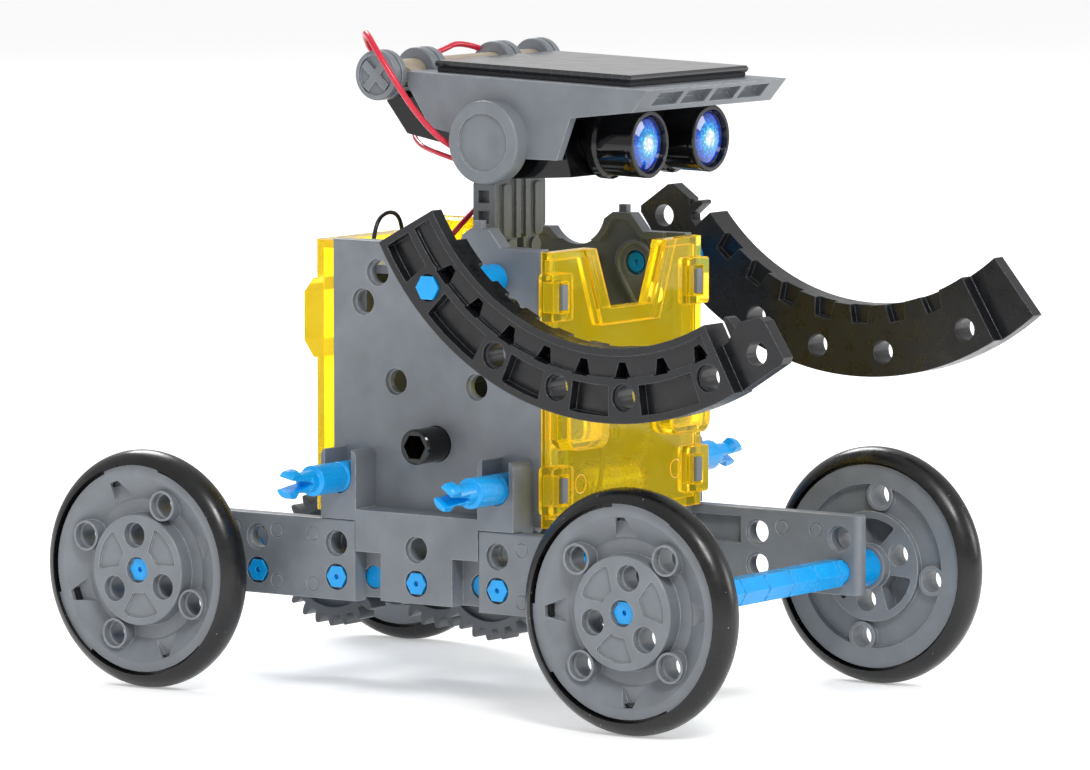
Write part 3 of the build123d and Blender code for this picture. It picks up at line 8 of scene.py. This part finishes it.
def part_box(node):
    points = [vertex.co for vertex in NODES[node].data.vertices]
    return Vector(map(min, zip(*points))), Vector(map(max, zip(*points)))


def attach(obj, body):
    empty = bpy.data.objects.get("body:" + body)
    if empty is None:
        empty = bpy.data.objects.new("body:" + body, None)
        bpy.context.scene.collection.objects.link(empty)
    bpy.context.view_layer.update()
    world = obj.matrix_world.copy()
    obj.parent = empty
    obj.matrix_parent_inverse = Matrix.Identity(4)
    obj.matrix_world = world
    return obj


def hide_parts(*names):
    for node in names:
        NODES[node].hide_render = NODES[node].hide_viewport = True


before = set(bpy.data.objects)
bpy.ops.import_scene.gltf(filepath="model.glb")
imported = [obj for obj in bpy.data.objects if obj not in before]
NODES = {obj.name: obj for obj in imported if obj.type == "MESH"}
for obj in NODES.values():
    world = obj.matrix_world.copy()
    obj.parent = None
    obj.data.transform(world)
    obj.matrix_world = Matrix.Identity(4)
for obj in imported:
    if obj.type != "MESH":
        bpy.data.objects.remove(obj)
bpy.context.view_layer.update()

MM = 0.001
SIDES = {"right": -1, "left": 1}


def srgb(red, green, blue, alpha=1.0):
    """A colour given as 0 to 255 screen values, as linear light."""
    def linear(value):
        value /= 255
        return value / 12.92 if value <= 0.04045 else ((value + 0.055) / 1.055) ** 2.4
    return (linear(red), linear(green), linear(blue), alpha)


def scaled(colour, factor):
    """A colour made lighter or darker."""
    return tuple(min(1.0, channel * factor) for channel in colour[:3]) + (colour[3],)


# ---- camera, light and floor ----
CAMERA_AT = Vector((-1.1252, -0.7885, 0.1942))
CAMERA_TARGET = Vector((0.00333, -0.00480, 0.05587))


def add_camera():
    data = bpy.data.cameras.new("camera")
    data.sensor_width = 36.0
    data.lens = 246.97
    data.clip_end = 20.0
    camera = bpy.data.objects.new("camera", data)
    camera.location = CAMERA_AT
    camera.rotation_euler = (CAMERA_TARGET - CAMERA_AT).to_track_quat("-Z", "Y").to_euler()
    bpy.context.scene.collection.objects.link(camera)
    bpy.context.scene.camera = camera


def add_area_light(name, place, aim, size, power):
    data = bpy.data.lights.new(name, "AREA")
    data.shape = "DISK"
    data.size = size
    data.energy = power
    light = bpy.data.objects.new(name, data)
    light.location = place
    light.rotation_euler = (Vector(aim) - Vector(place)).to_track_quat("-Z", "Y").to_euler()
    bpy.context.scene.collection.objects.link(light)


def add_studio():
    world = bpy.data.worlds.new("studio")
    world.use_nodes = True
    background = world.node_tree.nodes["Background"]
    background.inputs["Color"].default_value = (1.0, 1.0, 1.0, 1.0)
    background.inputs["Strength"].default_value = 0.62
    bpy.context.scene.world = world
    bpy.context.scene.view_settings.view_transform = "Standard"
    middle = (0.0, 0.0, 0.06)
    add_area_light("key", (-0.9, -1.1, 1.3), middle, 0.55, 17.0)
    add_area_light("rim", (0.7, 0.9, 1.1), middle, 0.6, 12.0)
    add_area_light("front_fill", (0.9, -1.2, 0.5), middle, 0.6, 5.0)

    floor_mesh = bpy.data.meshes.new("floor")
    half = 6.0
    floor_mesh.from_pydata([(-half, -half, 0), (half, -half, 0), (half, half, 0), (-half, half, 0)],
                           [], [(0, 1, 2, 3)])
    floor = bpy.data.objects.new("floor", floor_mesh)
    bpy.context.scene.collection.objects.link(floor)
    paint = bpy.data.materials.new("floor_paint")
    paint.use_nodes = True
    shader = paint.node_tree.nodes["Principled BSDF"]
    shader.inputs["Base Color"].default_value = (0.93, 0.93, 0.93, 1)
    shader.inputs["Roughness"].default_value = 0.8
    shader.inputs["Specular IOR Level"].default_value = 0.2
    shader.inputs["Emission Color"].default_value = (1, 1, 1, 1)
    shader.inputs["Emission Strength"].default_value = 0.34
    floor_mesh.materials.append(paint)


# ---- materials ----
class Surface:
    """A node material under construction: short calls for the nodes that the materials share."""

    def __init__(self, name):
        self.material = bpy.data.materials.new(name)
        self.material.use_nodes = True
        self.tree = self.material.node_tree
        self.shader = self.tree.nodes["Principled BSDF"]
        self.place = self.node("ShaderNodeTexCoord").outputs["Object"]

    def node(self, kind, **settings):
        made = self.tree.nodes.new(kind)
        for key, value in settings.items():
            setattr(made, key, value)
        return made

    def join(self, source, target):
        self.tree.links.new(source, target)

    def set(self, **values):
        """Set sockets of the shader: names with underscores for spaces."""
        for key, value in values.items():
            self.shader.inputs[key.replace("_", " ")].default_value = value

    def noise(self, size, detail=3.0, roughness=0.55):
        """Noise whose blobs are about `size` metres across."""
        made = self.node("ShaderNodeTexNoise")
        made.inputs["Scale"].default_value = 1.0 / size
        made.inputs["Detail"].default_value = detail
        made.inputs["Roughness"].default_value = roughness
        self.join(self.place, made.inputs["Vector"])
        return made.outputs["Fac"]

    def cells(self, size):
        """Distance to the middle of the nearest of many scattered cells."""
        made = self.node("ShaderNodeTexVoronoi")
        made.inputs["Scale"].default_value = 1.0 / size
        self.join(self.place, made.inputs["Vector"])
        return made.outputs["Distance"]

    def ranged(self, source, low, high, to_low=0.0, to_high=1.0):
        made = self.node("ShaderNodeMapRange")
        for key, value in (("From Min", low), ("From Max", high), ("To Min", to_low), ("To Max", to_high)):
            made.inputs[key].default_value = value
        self.join(source, made.inputs["Value"])
        return made.outputs["Result"]

    def math(self, operation, first, second):
        made = self.node("ShaderNodeMath", operation=operation)
        for value, socket in ((first, made.inputs[0]), (second, made.inputs[1])):
            if isinstance(value, (int, float)):
                socket.default_value = value
            else:
                self.join(value, socket)
        return made.outputs["Value"]

    def mixed(self, factor, first, second):
        made = self.node("ShaderNodeMix", data_type="RGBA")
        self.join(factor, made.inputs[0])
        for value, socket in ((first, made.inputs[6]), (second, made.inputs[7])):
            if isinstance(value, tuple):
                socket.default_value = value
            else:
                self.join(value, socket)
        return made.outputs[2]

    def rounded(self, radius):
        """The surface normal with its sharp edges rounded."""
        made = self.node("ShaderNodeBevel", samples=6)
        made.inputs["Radius"].default_value = radius
        return made.outputs["Normal"]

    def edges(self, radius, low=0.02, high=0.3):
        """1 along sharp edges, 0 on flat faces."""
        bevel = self.rounded(radius)
        flat = self.node("ShaderNodeNewGeometry").outputs["Normal"]
        dot = self.node("ShaderNodeVectorMath", operation="DOT_PRODUCT")
        self.join(bevel, dot.inputs[0])
        self.join(flat, dot.inputs[1])
        turned = self.math("SUBTRACT", 1.0, dot.outputs["Value"])
        return self.ranged(turned, low, high)

    def color_from(self, source):
        self.join(source, self.shader.inputs["Base Color"])

    def vary(self, size, low, high):
        """Slow variation between two values, from blobs about `size` metres across."""
        return self.ranged(self.noise(size), 0.3, 0.7, low, high)

    def rough(self, size, low, high):
        """Roughness that drifts between two values."""
        self.join(self.vary(size, low, high), self.shader.inputs["Roughness"])

    def relief(self, height, strength, depth, normal=None):
        bump = self.node("ShaderNodeBump")
        bump.inputs["Strength"].default_value = strength
        bump.inputs["Distance"].default_value = depth
        self.join(height, bump.inputs["Height"])
        if normal is not None:
            self.join(normal, bump.inputs["Normal"])
        self.join(bump.outputs["Normal"], self.shader.inputs["Normal"])


def moulded_plastic(name, colour, highlight_and_wear_colour, gloss=(0.32, 0.46), highlight_and_wear_amount=0.45, grain=0.05, mottle=0.1):
    """Injection-moulded plastic: soft mottling, a fine grain and rounded edges, painted paler in patches
    along the edges, partly a painted highlight and partly rubbed wear.
    """
    surface = Surface(name)
    cloud = surface.vary(5 * MM, 0.0, 1.0)
    base = surface.mixed(cloud, scaled(colour, 1 - mottle), scaled(colour, 1 + mottle))
    patches = surface.ranged(surface.noise(1.2 * MM), 0.25, 0.6)
    # Paler colour along sharp edges, in patches: partly a painted highlight, partly rubbed wear.
    highlight_and_wear_mask = surface.math("MULTIPLY", surface.edges(0.35 * MM), patches)
    surface.color_from(surface.mixed(surface.math("MULTIPLY", highlight_and_wear_mask, highlight_and_wear_amount), base, highlight_and_wear_colour))
    surface.rough(2.5 * MM, *gloss)
    surface.relief(surface.noise(0.25 * MM, detail=2), grain, 0.05 * MM, surface.rounded(0.25 * MM))
    surface.set(IOR=1.5)
    return surface


def grey_plastic():
    surface = moulded_plastic("grey_plastic", srgb(116, 121, 127), srgb(200, 204, 208), highlight_and_wear_amount=0.75)
    return surface.material


def dark_grey_plastic():
    surface = moulded_plastic("dark_grey_plastic", srgb(96, 99, 103), srgb(150, 153, 157))
    return surface.material


def blue_plastic():
    surface = moulded_plastic("blue_plastic", srgb(0, 158, 232), srgb(120, 215, 252), gloss=(0.18, 0.3),
                              highlight_and_wear_amount=0.5, mottle=0.07)
    surface.set(Subsurface_Weight=0.12, Subsurface_Scale=1.5 * MM)
    return surface.material


def black_plastic():
    """Black arms: greyer on the edges, partly a painted highlight and partly rubbed wear, with fine
    scratches in the grain.
    """
    surface = moulded_plastic("black_plastic", srgb(21, 22, 25), srgb(120, 123, 130), gloss=(0.22, 0.4),
                              highlight_and_wear_amount=0.62, grain=0.12, mottle=0.25)
    return surface.material


def gloss_black_plastic():
    surface = moulded_plastic("gloss_black_plastic", srgb(10, 10, 12), srgb(70, 72, 78), gloss=(0.06, 0.14),
                              highlight_and_wear_amount=0.4, grain=0.01, mottle=0.2)
    return surface.material


def tyre_rubber():
    """Smooth rubber with a few specks of dust."""
    surface = Surface("tyre_rubber")
    dust = surface.math("LESS_THAN", surface.cells(2.2 * MM), 0.045)
    base = surface.mixed(surface.vary(6 * MM, 0.0, 1.0), srgb(11, 11, 12), srgb(19, 19, 21))
    surface.color_from(surface.mixed(dust, base, srgb(168, 168, 168)))
    surface.rough(3 * MM, 0.2, 0.36)
    surface.relief(surface.noise(0.4 * MM), 0.06, 0.05 * MM)
    return surface.material


def clear_yellow():
    """Clear yellow plastic: vivid faces and faint flow marks, with painted orange edges and a painted glow,
    strongest at the edges, standing for the light the plastic gathers.
    """
    surface = Surface("clear_yellow")
    cloud = surface.vary(6 * MM, 0.0, 1.0)
    base = surface.mixed(cloud, srgb(255, 232, 50), srgb(255, 244, 96))
    # Edge mask for the painted orange edges and the painted glow; it also lowers the transmission there.
    rim = surface.edges(0.5 * MM)
    surface.color_from(surface.mixed(rim, base, srgb(255, 178, 0)))
    surface.join(surface.ranged(rim, 0.0, 1.0, 0.88, 0.35), surface.shader.inputs["Transmission Weight"])
    surface.rough(2.0 * MM, 0.03, 0.12)
    # Painted glow: emission for light the clear plastic carries, stronger and more orange at the edges.
    painted_glow_colour = surface.mixed(rim, srgb(255, 214, 0), srgb(255, 160, 0))
    surface.join(painted_glow_colour, surface.shader.inputs["Emission Color"])
    surface.join(surface.ranged(rim, 0.0, 1.0, 0.09, 0.32), surface.shader.inputs["Emission Strength"])
    surface.relief(surface.noise(3.0 * MM), 0.1, 0.1 * MM, surface.rounded(0.3 * MM))
    surface.set(IOR=1.22)
    return surface.material


def lit_lens():
    """The lamp's face: a white core, a blue halo broken into dots and a dark rim."""
    surface = Surface("lit_lens")
    axes = surface.node("ShaderNodeSeparateXYZ")
    surface.join(surface.place, axes.inputs["Vector"])
    across = surface.math("SUBTRACT", surface.math("ABSOLUTE", axes.outputs["X"], 0.0), EYE_X)
    upward = surface.math("SUBTRACT", axes.outputs["Z"], EYE_Z)
    squares = surface.math("ADD", surface.math("POWER", across, 2.0), surface.math("POWER", upward, 2.0))
    radius = surface.math("POWER", squares, 0.5)
    ramp = surface.node("ShaderNodeValToRGB")
    stops = ((0.0, (1.0, 1.0, 1.0, 1)), (0.22, (0.7, 0.96, 1.0, 1)), (0.4, (0.02, 0.5, 1.0, 1)),
             (0.66, (0.0, 0.2, 1.0, 1)), (0.86, (0.0, 0.05, 0.6, 1)), (1.0, (0.0, 0.005, 0.06, 1)))
    ramp.color_ramp.elements.remove(ramp.color_ramp.elements[1])
    for position, colour in stops[1:]:
        ramp.color_ramp.elements.new(position).color = colour
    ramp.color_ramp.elements[0].color = stops[0][1]
    surface.join(surface.ranged(radius, 0.0, LENS_R), ramp.inputs["Fac"])
    dots = surface.ranged(surface.cells(0.55 * MM), 0.15, 0.55, 1.25, 0.45)
    falling = surface.ranged(radius, 0.1 * LENS_R, 0.95 * LENS_R, 1.7, 0.8)
    surface.join(ramp.outputs["Color"], surface.shader.inputs["Emission Color"])
    surface.join(surface.math("MULTIPLY", dots, falling), surface.shader.inputs["Emission Strength"])
    surface.set(Base_Color=(0.004, 0.006, 0.02, 1), Roughness=0.06, Coat_Weight=0.6)
    return surface.material


def panel_glass():
    """The solar cell's face: near-black glass with faint silver fingers."""
    surface = Surface("panel_glass")
    axes = surface.node("ShaderNodeSeparateXYZ")
    surface.join(surface.place, axes.inputs["Vector"])
    stripe = surface.math("FRACT", surface.math("MULTIPLY", axes.outputs["Y"], 1 / (2.2 * MM)), 0.0)
    line = surface.math("LESS_THAN", stripe, 0.07)
    base = surface.mixed(surface.vary(8 * MM, 0.0, 1.0), srgb(14, 15, 19), srgb(24, 26, 32))
    surface.color_from(surface.mixed(surface.math("MULTIPLY", line, 0.35), base, srgb(84, 88, 96)))
    surface.rough(4 * MM, 0.12, 0.2)
    surface.set(Coat_Weight=0.5, Coat_Roughness=0.08)
    return surface.material


def foam_pad():
    """The porous black pad under the solar cell."""
    surface = Surface("foam_pad")
    pores = surface.ranged(surface.cells(0.35 * MM), 0.1, 0.5)
    surface.color_from(surface.mixed(pores, srgb(8, 8, 9), srgb(46, 47, 50)))
    surface.set(Roughness=0.8)
    surface.relief(pores, 0.6, 0.2 * MM)
    return surface.material


def lead_skin(name, colour):
    """The soft glossy sleeve of a thin lead."""
    surface = Surface(name)
    surface.color_from(surface.mixed(surface.vary(1.5 * MM, 0.0, 1.0), scaled(colour, 0.85), colour))
    surface.set(Roughness=0.34, Coat_Weight=0.2)
    surface.relief(surface.noise(0.5 * MM), 0.05, 0.05 * MM)
    return surface.material


def metal(name, colour, roughness):
    surface = Surface(name)
    surface.color_from(surface.mixed(surface.vary(2 * MM, 0.0, 1.0), scaled(colour, 0.8), colour))
    surface.rough(0.8 * MM, roughness * 0.7, roughness * 1.3)
    surface.set(Metallic=1.0)
    return surface.material


def beige_plastic():
    return moulded_plastic("beige_plastic", srgb(158, 146, 126), srgb(190, 180, 160)).material


# ---- mesh helpers ----
def finished(name, bm, material, body, smooth=True):
    """Turn a bmesh into a piece that rides on a body."""
    mesh = bpy.data.meshes.new(name)
    bm.normal_update()
    bm.to_mesh(mesh)
    bm.free()
    for polygon in mesh.polygons:
        polygon.use_smooth = smooth
    mesh.materials.append(material)
    piece = bpy.data.objects.new(name, mesh)
    bpy.context.scene.collection.objects.link(piece)
    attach(piece, body)
    return piece


def block(low, high, bevel, segments=3):
    """A box between two corners with rounded edges, as a bmesh."""
    bm = bmesh.new()
    size = Vector(high) - Vector(low)
    middle = (Vector(high) + Vector(low)) / 2
    bmesh.ops.create_cube(bm, size=1.0, matrix=Matrix.Translation(middle) @ Matrix.Diagonal((*size, 1.0)))
    bmesh.ops.bevel(bm, geom=list(bm.edges), offset=bevel, segments=segments, profile=0.5, affect="EDGES")
    return bm


def ring(centre, normal, radius, thickness, steps=64, sides=8):
    """A round wire bent into a ring about a centre, as a bmesh."""
    bm = bmesh.new()
    turned = Vector(normal).to_track_quat("Z", "Y").to_matrix()
    up = turned @ Vector((0, 0, 1))
    rows = []
    for step in range(steps):
        angle = 2 * pi * step / steps
        outward = turned @ Vector((cos(angle), sin(angle), 0))
        middle = Vector(centre) + radius * outward
        rows.append([bm.verts.new(middle + thickness / 2 * (cos(a) * outward + sin(a) * up))
                     for a in (2 * pi * side / sides for side in range(sides))])
    for index, here in enumerate(rows):
        following = rows[(index + 1) % steps]
        for side in range(sides):
            beside = (side + 1) % sides
            bm.faces.new((here[side], here[beside], following[beside], following[side]))
    return bm


def dress(material, *names):
    """Give CAD nodes a material."""
    for name in names:
        for slot in NODES[name].material_slots:
            slot.material = material


LENS_LOW, LENS_HIGH = (Vector(corner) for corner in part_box("eye_lenses"))
LENS_R = (LENS_HIGH.z - LENS_LOW.z) / 2
EYE_X = LENS_HIGH.x - LENS_R
EYE_Z = (LENS_HIGH.z + LENS_LOW.z) / 2

GREY = grey_plastic()
DARK_GREY = dark_grey_plastic()
BLUE = blue_plastic()
BLACK = black_plastic()
GLOSS_BLACK = gloss_black_plastic()
RUBBER = tyre_rubber()
YELLOW = clear_yellow()
STEEL = metal("motor_steel", srgb(190, 190, 188), 0.3)
BRASS = metal("brass", srgb(200, 160, 80), 0.28)


def dress_frame():
    """Better materials for the CAD nodes."""
    grey = ["inner_frame", "motor_cradle", "visor"]
    grey += [node for node in NODES if node.startswith(
        ("body_shell", "side_frame", "beam", "wheel", "neck_", "ear_cap", "knobs"))]
    grey.remove("neck_lead")
    dress(GREY, *grey)
    dress(DARK_GREY, "front_gear", "middle_gear", "rear_gear", "axle_gear", "output_gear", "stage_gear")
    blue = ["front_axle", "rear_axle", "frame_pins", "split_pins", "arm_pin_left", "arm_pin_right"]
    blue += [node for node in NODES if node.endswith("gear_shaft")]
    dress(BLUE, *blue)
    dress(BLACK, "arm_left", "arm_right")
    dress(GLOSS_BLACK, "head_core", "eye_left", "eye_right", "output_shaft")
    dress(RUBBER, *[node for node in NODES if node.startswith("tyre")])
    dress(YELLOW, "front_cover", "rear_cover")
    dress(STEEL, "motor", "stage_shaft", "head_axle")
    dress(BRASS, "motor_pinion")
    dress(beige_plastic(), "knob_rod")
    dress(lit_lens(), "eye_lenses")
    

# ---- leads: the route's points in millimetres are the control points of one smooth spline ----
RED = lead_skin("red_sleeve", srgb(214, 26, 58))
LEAD_BLACK = lead_skin("black_sleeve", srgb(20, 20, 22))
GREEN = lead_skin("green_sleeve", srgb(22, 128, 60))
# name: (diameter, length, material, slot, body, lay, points)
LEADS = {
    "red_lead_upper": (1.1, 70.7, RED, "lead_red", "head", "hanging", (
        (9.9, 14.7, 117.2), (5.6, 16.2, 118.6), (0.4, 16.2, 117.2), (-6.0, 17.6, 115.6),
        (-12.6, 18.6, 115.4), (-18.4, 18.6, 117.4), (-22.4, 17.4, 120.6), (-26.2, 14.4, 122.0),
        (-28.6, 10.2, 118.6), (-28.4, 6.4, 113.4), (-27.0, 3.6, 108.6), (-25.3, 0.8, 104.6),
        (-23.4, -2.0, 101.6), (-20.9, -4.4, 99.9))),
    "red_lead_lower": (0.9, 31.6, RED, "lead_red", "head", "hanging", (
        (-3.4, 13.5, 107.0), (-6.6, 14.4, 105.8), (-10.8, 13.8, 104.6), (-14.6, 12.2, 102.6),
        (-17.4, 8.8, 101.0), (-20.0, 4.6, 100.3), (-22.0, 0.9, 99.9), (-21.7, -2.2, 99.0),
        (-20.8, -4.1, 98.3))),
    "neck_lead": (1.0, 34.5, RED, "lead_red", "chassis", "loose", (
        (-10.0, 9.6, 79.3), (-10.2, 9.0, 81.8), (-9.2, 6.6, 84.6), (-6.0, 5.8, 87.4),
        (-1.2, 6.2, 89.6), (4.0, 6.6, 91.2), (8.8, 6.0, 92.8), (11.4, 3.2, 92.9), (10.4, 1.0, 91.6),
        (8.1, 0.9, 91.2))),
    "rear_lead": (0.8, 42.9, LEAD_BLACK, "lead_black", "chassis", "loose", (
        (-15.8, 19.6, 69.0), (-15.8, 21.1, 73.0), (-15.0, 21.4, 80.6), (-13.2, 21.2, 87.4),
        (-6.4, 21.2, 87.6), (-4.8, 21.4, 80.6), (-4.4, 21.1, 73.0), (-4.4, 19.6, 69.0))),
    "motor_lead_upper": (0.9, 33.9, LEAD_BLACK, "lead_black", "chassis", "loose", (
        (-11.2, -18.0, 41.9), (-13.4, -18.4, 42.4), (-15.4, -20.0, 45.4), (-13.4, -22.0, 49.2),
        (-8.8, -22.8, 50.4), (-5.4, -22.7, 47.4), (-5.6, -23.3, 43.0), (-7.2, -23.5, 38.6),
        (-8.6, -22.8, 35.4), (-6.9, -21.4, 34.2))),
    "motor_lead_lower": (0.9, 30.2, GREEN, "lead_green", "chassis", "loose", (
        (-10.4, -17.8, 35.3), (-13.0, -18.2, 34.8), (-16.0, -19.6, 36.4), (-17.0, -21.2, 40.6),
        (-15.2, -22.0, 45.0), (-16.2, -21.6, 49.8), (-18.2, -20.2, 54.0), (-20.6, -18.8, 56.6),
        (-21.5, -17.9, 57.3))),
}


def add_lead(name, diameter, length, material, slot, body, lay, points):
    """A thin lead along its route, standing for the CAD tube of the same name."""
    curve = bpy.data.curves.new(name + "_line", "CURVE")
    curve.dimensions = "3D"
    curve.bevel_depth = diameter * MM / 2
    curve.bevel_resolution = 5
    curve.resolution_u = 14
    curve.use_fill_caps = True
    spline = curve.splines.new("NURBS")
    spline.points.add(len(points) - 1)
    for point, place in zip(spline.points, points):
        point.co = (*(Vector(place) * MM), 1.0)
    spline.order_u = 3
    spline.use_endpoint_u = True
    curve.materials.append(material)
    lead = bpy.data.objects.new(name + "_cord", curve)
    bpy.context.scene.collection.objects.link(lead)
    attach(lead, body)
    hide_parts(name)


# ---- detailed pieces ----
PANEL_TILT = 0.0321               # radians: the visor's top falls towards the front
PANEL_SEAT = -1.05 * MM           # underside of the pad, from the middle of the CAD panel
PAD_T = 0.9 * MM
PANEL_T = 2.1 * MM                # pad and plate together
PAD_INSET = 0.5 * MM


def add_panel_layer(name, inset, bottom, top, bevel, segments, material):
    """One layer of the solar panel, between two heights above the panel's seat."""
    low, high = (Vector(corner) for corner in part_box("solar_panel"))
    half_x = (high.x - low.x) / 2 - inset
    half_y = (high.y - low.y) / 2 - 0.1 * MM - inset
    near, far = (-half_x, -half_y, PANEL_SEAT + bottom), (half_x, half_y, PANEL_SEAT + top)
    layer = block(near, far, bevel, segments)
    tilt = Matrix.Translation((low + high) / 2) @ Matrix.Rotation(PANEL_TILT, 4, "X")
    bmesh.ops.transform(layer, matrix=tilt, verts=layer.verts)
    return finished(name, layer, material, "head", smooth=False)


def add_solar_panel():
    """A glossy plate with chamfered edges on a porous pad, both inside the CAD panel's space."""
    add_panel_layer("solar_pad", PAD_INSET, 0.0, PAD_T, 0.2 * MM, 2, foam_pad())
    plate = add_panel_layer("solar_plate", 0.0, PAD_T, PANEL_T, 0.45 * MM, 1, panel_glass())
    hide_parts("solar_panel")


LATCH_X = 21.9 * MM
LATCH_Z = {"low": 40.0 * MM, "high": 75.0 * MM}
LATCH_HALF = (0.9 * MM, 2.3 * MM)            # half width and half height
LATCH_DEPTH = (1.6 * MM, 3.8 * MM)           # front and back, behind the cover's foremost point


def add_latches():
    """Grey hooks of the body shells, seen in the front cover's four latch windows."""
    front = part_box("front_cover")[0][1]
    half_x, half_z = LATCH_HALF
    near, far = (front + depth for depth in LATCH_DEPTH)
    for word, side in SIDES.items():
        x = side * LATCH_X
        for level, z in LATCH_Z.items():
            hook = block((x - half_x, near, z - half_z), (x + half_x, far, z + half_z), 0.3 * MM)
            finished(f"latch_{level}_{word}", hook, GREY, "chassis", smooth=False)


COVER_FACE_Y = -25.7 * MM
MARK_X = 15.4 * MM
MARK_Z = {"low": 40.6 * MM, "middle": 62.0 * MM}
MARK_R, MARK_T = 1.7 * MM, 0.22 * MM


def add_ejector_marks():
    """Fine raised rings left by the mould on the front cover's face."""
    for word, side in SIDES.items():
        for level, z in MARK_Z.items():
            mark = ring((side * MARK_X, COVER_FACE_Y, z), (0, -1, 0), MARK_R, MARK_T)
            finished(f"mould_ring_{level}_{word}", mark, YELLOW, "chassis")


add_camera()
for lead_name, facts in LEADS.items():
    add_lead(lead_name, *facts)
add_studio()
dress_frame()
add_solar_panel()
add_latches()
add_ejector_marks()
